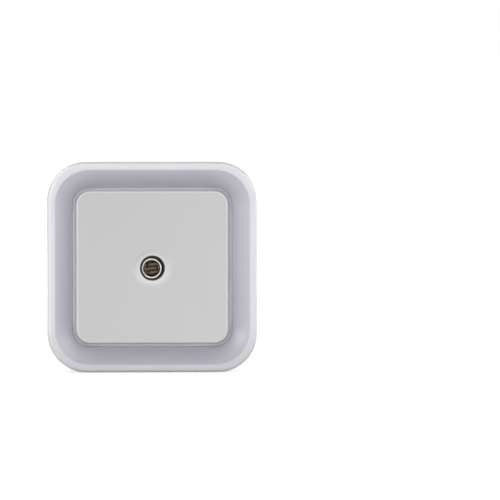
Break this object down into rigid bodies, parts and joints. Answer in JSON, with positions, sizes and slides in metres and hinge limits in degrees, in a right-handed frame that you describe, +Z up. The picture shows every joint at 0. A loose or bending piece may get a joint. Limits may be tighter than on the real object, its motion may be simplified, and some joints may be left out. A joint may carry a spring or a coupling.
{
  "type": "plug in night light",
  "caption": "Square plug-in night light with a frosted dished frame, an opaque panel with a central dusk sensor, and a flat two-pin plug on its stepped back.",
  "frame": {"origin": "middle of the plug's end face, between the two pins, where the light meets the wall socket", "axes": "+Y along the pins, out of the back and into the socket; the lit front faces -Y; +Z up as plugged in, with the pins side by side in the upper half; +X to the right as seen from the front"},
  "size_m": [0.065, 0.07, 0.065],
  "materials": {
    "white_casing": "fine satin moulded plastic, warm white",
    "frosted_lens": "frosted translucent plastic with a lilac cast",
    "panel_plastic": "satin moulded plastic, light neutral grey",
    "pin_sleeve_plastic": "smooth insulating plastic, warm white",
    "nickel_plated_pin": "polished nickel plate on brass",
    "zinc_plated_steel": "bright zinc plate",
    "black_tube": "black plastic tube",
    "sensor_ceramic": "plain fired ceramic",
    "sensor_film": "dull brown light-sensitive film",
    "sensor_metal": "thin dull metal film",
    "clear_resin": "clear cast resin",
    "board_laminate": "plain paper-phenolic laminate",
    "solder": "bright tin solder",
    "tinned_wire": "tinned copper wire",
    "lamp_resin": "cloudy cast resin",
    "film_capacitor_coat": "dipped brown-red resin",
    "capacitor_sleeve": "shrunk dark film",
    "capacitor_bung": "dull black rubber",
    "diode_case": "black moulded epoxy",
    "resistor_paint": "matt tan coating",
    "blue_insulation": "soft insulation, blue",
    "brown_insulation": "soft insulation, brown"
  },
  "bodies": {
    "root": {"bleed_resistor": "resistor_paint", "board_screws": "zinc_plated_steel", "circuit_board": "board_laminate", "diffuser": "frosted_lens", "diode_1": "diode_case", "diode_2": "diode_case", "diode_3": "diode_case", "diode_4": "diode_case", "diode_leads": "tinned_wire", "divider_resistor": "resistor_paint", "film_capacitor": "film_capacitor_coat", "film_capacitor_leads": "tinned_wire", "front_panel": "panel_plastic", "led_bottom": "lamp_resin", "led_bottom_leads": "tinned_wire", "led_left": "lamp_resin", "led_left_leads": "tinned_wire", "led_right": "lamp_resin", "led_right_leads": "tinned_wire", "led_top": "lamp_resin", "led_top_leads": "tinned_wire", "left_pin": "nickel_plated_pin", "left_sleeve": "pin_sleeve_plastic", "left_wire": "blue_insulation", "plug_body": "white_casing", "plug_screws": "zinc_plated_steel", "rear_housing": "white_casing", "reservoir_bung": "capacitor_bung", "reservoir_capacitor": "capacitor_sleeve", "reservoir_leads": "tinned_wire", "resistor_leads": "tinned_wire", "right_pin": "nickel_plated_pin", "right_sleeve": "pin_sleeve_plastic", "right_wire": "brown_insulation", "sensor_coating": "clear_resin", "sensor_disc": "sensor_ceramic", "sensor_electrodes": "sensor_metal", "sensor_leads": "tinned_wire", "sensor_shroud": "black_tube", "sensor_track": "sensor_film", "solder_joints": "solder", "surge_resistor": "resistor_paint", "transistor": "diode_case", "transistor_leads": "tinned_wire"}
  },
  "joints": []
}
